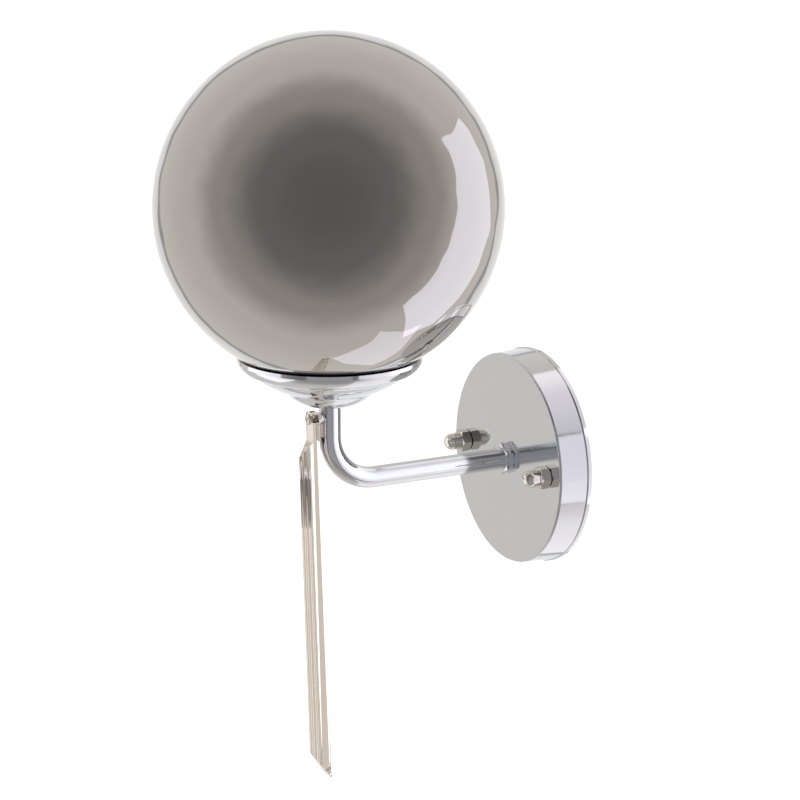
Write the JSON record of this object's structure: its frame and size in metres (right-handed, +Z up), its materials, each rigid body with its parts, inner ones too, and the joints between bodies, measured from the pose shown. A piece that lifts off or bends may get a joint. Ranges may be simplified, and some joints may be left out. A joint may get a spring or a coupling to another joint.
{
  "type": "wall_sconce_globe",
  "caption": "Single-arm globe wall sconce: mirror-finished glass globe in a tiered polished cup on a bent tube arm, round wall plate, and a long cut-glass bar hanging below",
  "frame": {"origin": "On the wall plane at the middle of the wall bracket's back, level with the arm's axis", "axes": "+Z up, -Y out of the wall towards the room, +X to the right of someone facing the wall"},
  "size_m": [0.2, 0.2382, 0.4425],
  "materials": {
    "polished_metal": "polished, mirror-like chrome plate",
    "polished_nickel": "polished nickel plate, slightly warm",
    "mirrored_glass": "blown glass with a smooth metal-vapour mirror finish",
    "clear_glass": "clear cut glass, polished faces",
    "frosted_glass": "frosted inside",
    "dark_glass": "vitrite insulator, glossy",
    "zinc_steel": "zinc-plated steel, satin",
    "spring_steel": "spring steel strip, satin",
    "brass": "plain brass, satin",
    "aluminium_cap": "satin aluminium",
    "black_rubber": "matt black rubber or fibre",
    "black_plastic": "black moulded plastic",
    "white_nylon": "natural nylon",
    "ceramic": "unglazed lampholder ceramic",
    "brown_pvc": "brown lead insulation",
    "blue_pvc": "blue lead insulation",
    "green_yellow_pvc": "green and yellow striped lead insulation"
  },
  "bodies": {
    "fixture": {"wall_bracket": "zinc_steel", "bracket_studs": "zinc_steel", "stud_lock_nuts": "zinc_steel", "wall_plate": "polished_metal", "cap_nut_washers": "black_rubber", "cap_nuts": "polished_nickel", "arm_tube": "polished_metal", "wall_nipple": "zinc_steel", "arm_washer": "polished_metal", "arm_lock_nut": "polished_metal", "earth_tag": "brass", "inner_lock_nut": "zinc_steel", "nipple_bush": "white_nylon", "holder_nipple": "zinc_steel", "terminal_block": "white_nylon", "terminal_sleeves": "brass", "terminal_screws": "zinc_steel", "block_screws": "zinc_steel", "shade_holder": "polished_metal", "globe_gasket": "black_rubber", "globe_spider": "spring_steel", "holder_washer": "zinc_steel", "holder_nut": "zinc_steel", "lampholder_cap": "black_plastic", "lampholder_core": "ceramic", "core_terminals": "brass", "core_screws": "zinc_steel", "centre_contact": "brass", "lampholder_shell": "brass", "lampholder_sleeve": "black_plastic", "prism_boss": "polished_metal", "prism_nut": "polished_nickel", "prism_screw": "polished_nickel", "live_lead": "brown_pvc", "neutral_lead": "blue_pvc", "earth_lead": "green_yellow_pvc"},
    "prism": {"prism_bar": "clear_glass"},
    "globe": {"globe_shade": "mirrored_glass"},
    "bulb": {"bulb_tip": "brass", "bulb_insulator": "dark_glass", "bulb_cap": "aluminium_cap", "bulb_glass": "frosted_glass"}
  },
  "joints": [
    {"name": "prism_swing", "type": "hinge", "parent": "fixture", "child": "prism", "pos_m": [0, -0.1498, 0.0396], "axis": [0, 1, 0], "range_deg": [-97, 97]},
    {"name": "globe_lift", "type": "slide", "parent": "fixture", "child": "globe", "axis": [0, 0, 1], "range_m": [0, 0.125]},
    {"name": "bulb_unscrew", "type": "slide", "parent": "fixture", "child": "bulb", "axis": [0, 0, 1], "range_m": [0, 0.025]}
  ]
}
